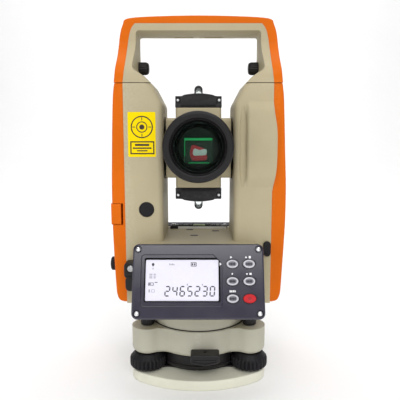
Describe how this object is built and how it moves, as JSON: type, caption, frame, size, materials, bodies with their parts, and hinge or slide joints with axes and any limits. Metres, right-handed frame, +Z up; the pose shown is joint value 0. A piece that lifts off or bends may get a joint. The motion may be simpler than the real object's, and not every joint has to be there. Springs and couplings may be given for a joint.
{
  "type": "surveying total station",
  "caption": "Surveying instrument with a transiting telescope between two standards, a rotating alidade with two display panels, and a levelling tribrach.",
  "frame": {"origin": "on the vertical turning axis, at the underside of the base plate", "axes": "+Z up along the vertical axis; -Y is where the objective and the front display face in the rest pose; +X to the right seen from the front"},
  "size_m": [0.1595, 0.1513, 0.33],
  "materials": {
    "beige_paint": "fine satin powder coat on cast aluminium",
    "ivory_paint": "satin enamel on a cast plate",
    "orange_shell": "satin moulded shell with a faint grain",
    "panel_plastic": "dark blue-grey satin moulding",
    "black_plastic": "black satin moulding",
    "knob_rubber": "matt black rubber",
    "steel": "turned and ground",
    "coated_glass": "green anti-reflection coating",
    "clear_glass": "polished",
    "display_glass": "backlit liquid crystal display behind a window",
    "key_grey": "moulded silicone",
    "key_red": "moulded silicone"
  },
  "bodies": {
    "tribrach": {"base_plate": "ivory_paint", "spring_plate": "black_plastic", "tribrach_hub": "black_plastic", "tribrach_body": "beige_paint", "foot_screw_cap_1": "black_plastic", "foot_screw_cap_2": "black_plastic", "foot_screw_cap_3": "black_plastic", "circular_level": "black_plastic"},
    "tribrach_lock_ring": {"tribrach_lock_ring": "steel"},
    "tribrach_lock_knob": {"tribrach_lock_knob": "black_plastic"},
    "foot_screw_1": {"foot_screw_1": "knob_rubber"},
    "foot_screw_2": {"foot_screw_2": "knob_rubber"},
    "foot_screw_3": {"foot_screw_3": "knob_rubber"},
    "instrument_base": {"centring_base": "beige_paint", "horizontal_circle": "clear_glass", "vertical_spindle": "steel"},
    "alidade": {"alidade_frame": "beige_paint", "left_side_cover": "orange_shell", "right_side_cover": "orange_shell", "front_panel": "panel_plastic", "front_display": "display_glass", "rear_panel": "panel_plastic", "rear_display": "display_glass", "plate_level_case": "black_plastic", "plate_level_vial": "clear_glass", "tangent_spring_case": "black_plastic"},
    "battery_pack": {"battery_pack": "orange_shell"},
    "battery_latch": {"battery_latch": "orange_shell"},
    "vertical_clamp_ring": {"vertical_clamp_ring": "black_plastic"},
    "vertical_tangent_knob": {"vertical_tangent_knob": "knob_rubber"},
    "horizontal_clamp_knob": {"horizontal_clamp_knob": "black_plastic"},
    "horizontal_tangent_knob": {"horizontal_tangent_knob": "knob_rubber"},
    "data_port_cap": {"data_port_cap": "knob_rubber"},
    "telescope": {"telescope_body": "beige_paint", "objective_hood": "black_plastic", "objective_lens": "coated_glass", "beam_splitter_prism": "coated_glass", "top_sight": "black_plastic", "bottom_sight": "black_plastic", "vertical_circle": "clear_glass"},
    "focusing_lens": {"focusing_lens": "clear_glass"},
    "focusing_ring": {"focusing_ring": "knob_rubber"},
    "eyepiece_ring": {"eyepiece_ring": "black_plastic"},
    "handle": {"handle_grip": "beige_paint", "handle_band": "orange_shell"},
    "handle_lock_left": {"handle_lock_left": "black_plastic"},
    "handle_lock_right": {"handle_lock_right": "black_plastic"},
    "front_key_1": {"front_key_1": "key_grey"},
    "front_key_2": {"front_key_2": "key_grey"},
    "front_key_3": {"front_key_3": "key_grey"},
    "front_key_4": {"front_key_4": "key_grey"},
    "front_key_5": {"front_key_5": "key_grey"},
    "front_key_6": {"front_key_6": "key_red"},
    "rear_key_1": {"rear_key_1": "key_grey"},
    "rear_key_2": {"rear_key_2": "key_grey"},
    "rear_key_3": {"rear_key_3": "key_grey"},
    "rear_key_4": {"rear_key_4": "key_grey"},
    "rear_key_5": {"rear_key_5": "key_grey"},
    "rear_key_6": {"rear_key_6": "key_red"}
  },
  "joints": [
    {"name": "foot_screw_1_turn", "type": "hinge", "parent": "tribrach", "child": "foot_screw_1", "pos_m": [-0.04746, -0.0274, 0.017], "axis": [0, 0, 1], "range_deg": [-1080, 1080]},
    {"name": "foot_screw_2_turn", "type": "hinge", "parent": "tribrach", "child": "foot_screw_2", "pos_m": [0.04746, -0.0274, 0.017], "axis": [0, 0, 1], "range_deg": [-1080, 1080]},
    {"name": "foot_screw_3_turn", "type": "hinge", "parent": "tribrach", "child": "foot_screw_3", "pos_m": [0, 0.0548, 0.017], "axis": [0, 0, 1], "range_deg": [-1080, 1080]},
    {"name": "lock_ring_turn", "type": "hinge", "parent": "tribrach", "child": "tribrach_lock_ring", "pos_m": [0, 0, 0.032], "axis": [0, 0, 1], "range_deg": [0, 20]},
    {"name": "lock_knob_turn", "type": "hinge", "parent": "tribrach", "child": "tribrach_lock_knob", "pos_m": [0.0058, -0.057, 0.0318], "axis": [0, -1, 0], "range_deg": [0, 180]},
    {"name": "instrument_lift", "type": "slide", "parent": "tribrach", "child": "instrument_base", "axis": [0, 0, 1], "range_m": [0, 0.03]},
    {"name": "alidade_turn", "type": "hinge", "parent": "instrument_base", "child": "alidade", "pos_m": [0, 0, 0.063], "axis": [0, 0, 1], "continuous": true},
    {"name": "battery_slide", "type": "slide", "parent": "alidade", "child": "battery_pack", "axis": [-1, 0, 0], "range_m": [0, 0.03]},
    {"name": "battery_latch_press", "type": "slide", "parent": "alidade", "child": "battery_latch", "axis": [1, 0, 0], "range_m": [0, 0.0015], "stiffness_N_per_m": 400},
    {"name": "vertical_clamp_turn", "type": "hinge", "parent": "alidade", "child": "vertical_clamp_ring", "pos_m": [-0.048, 0.04, 0.16], "axis": [0, 1, 0], "range_deg": [-60, 0]},
    {"name": "vertical_tangent_turn", "type": "hinge", "parent": "alidade", "child": "vertical_tangent_knob", "pos_m": [-0.048, 0.05, 0.16], "axis": [0, 1, 0], "range_deg": [-1080, 1080]},
    {"name": "horizontal_clamp_turn", "type": "hinge", "parent": "alidade", "child": "horizontal_clamp_knob", "pos_m": [-0.079, -0.018, 0.1065], "axis": [1, 0, 0], "range_deg": [-90, 0]},
    {"name": "horizontal_tangent_turn", "type": "hinge", "parent": "alidade", "child": "horizontal_tangent_knob", "pos_m": [-0.0685, 0.05, 0.1], "axis": [0, 1, 0], "range_deg": [-1080, 1080]},
    {"name": "port_cap_pull", "type": "slide", "parent": "alidade", "child": "data_port_cap", "axis": [0, -1, 0], "range_m": [0, 0.012]},
    {"name": "front_key_1_press", "type": "slide", "parent": "alidade", "child": "front_key_1", "axis": [0, 0.9311, -0.3649], "range_m": [0, 0.0008], "stiffness_N_per_m": 500},
    {"name": "front_key_2_press", "type": "slide", "parent": "alidade", "child": "front_key_2", "axis": [0, 0.9311, -0.3649], "range_m": [0, 0.0008], "stiffness_N_per_m": 500},
    {"name": "front_key_3_press", "type": "slide", "parent": "alidade", "child": "front_key_3", "axis": [0, 0.9311, -0.3649], "range_m": [0, 0.0008], "stiffness_N_per_m": 500},
    {"name": "front_key_4_press", "type": "slide", "parent": "alidade", "child": "front_key_4", "axis": [0, 0.9311, -0.3649], "range_m": [0, 0.0008], "stiffness_N_per_m": 500},
    {"name": "front_key_5_press", "type": "slide", "parent": "alidade", "child": "front_key_5", "axis": [0, 0.9311, -0.3649], "range_m": [0, 0.0008], "stiffness_N_per_m": 500},
    {"name": "front_key_6_press", "type": "slide", "parent": "alidade", "child": "front_key_6", "axis": [0, 0.9311, -0.3649], "range_m": [0, 0.0008], "stiffness_N_per_m": 500},
    {"name": "rear_key_1_press", "type": "slide", "parent": "alidade", "child": "rear_key_1", "axis": [0, -0.9311, -0.3649], "range_m": [0, 0.0008], "stiffness_N_per_m": 500},
    {"name": "rear_key_2_press", "type": "slide", "parent": "alidade", "child": "rear_key_2", "axis": [0, -0.9311, -0.3649], "range_m": [0, 0.0008], "stiffness_N_per_m": 500},
    {"name": "rear_key_3_press", "type": "slide", "parent": "alidade", "child": "rear_key_3", "axis": [0, -0.9311, -0.3649], "range_m": [0, 0.0008], "stiffness_N_per_m": 500},
    {"name": "rear_key_4_press", "type": "slide", "parent": "alidade", "child": "rear_key_4", "axis": [0, -0.9311, -0.3649], "range_m": [0, 0.0008], "stiffness_N_per_m": 500},
    {"name": "rear_key_5_press", "type": "slide", "parent": "alidade", "child": "rear_key_5", "axis": [0, -0.9311, -0.3649], "range_m": [0, 0.0008], "stiffness_N_per_m": 500},
    {"name": "rear_key_6_press", "type": "slide", "parent": "alidade", "child": "rear_key_6", "axis": [0, -0.9311, -0.3649], "range_m": [0, 0.0008], "stiffness_N_per_m": 500},
    {"name": "telescope_turn", "type": "hinge", "parent": "alidade", "child": "telescope", "pos_m": [0, 0, 0.213], "axis": [1, 0, 0], "continuous": true},
    {"name": "focusing_ring_turn", "type": "hinge", "parent": "telescope", "child": "focusing_ring", "pos_m": [0, 0.04895, 0.21086], "axis": [0, 0.999, -0.0436], "range_deg": [-150, 150]},
    {"name": "focusing_lens_slide", "type": "slide", "parent": "telescope", "child": "focusing_lens", "axis": [0, 0.999, -0.0436], "range_m": [-0.0085, 0.0085]},
    {"name": "eyepiece_turn", "type": "hinge", "parent": "telescope", "child": "eyepiece_ring", "pos_m": [0, 0.06494, 0.21016], "axis": [0, 0.999, -0.0436], "range_deg": [-200, 200]},
    {"name": "handle_lift", "type": "slide", "parent": "alidade", "child": "handle", "axis": [0, 0, 1], "range_m": [0, 0.03]},
    {"name": "handle_lock_left_turn", "type": "hinge", "parent": "handle", "child": "handle_lock_left", "pos_m": [-0.05, 0, 0.286], "axis": [1, 0, 0], "range_deg": [0, 1080]},
    {"name": "handle_lock_right_turn", "type": "hinge", "parent": "handle", "child": "handle_lock_right", "pos_m": [0.05, 0, 0.286], "axis": [1, 0, 0], "range_deg": [-1080, 0]}
  ],
  "couplings": [
    {"joint": "lock_knob_turn", "follows": "lock_ring_turn", "ratio": 9},
    {"joint": "focusing_lens_slide", "follows": "focusing_ring_turn", "m_per_rad": 0.003056}
  ]
}
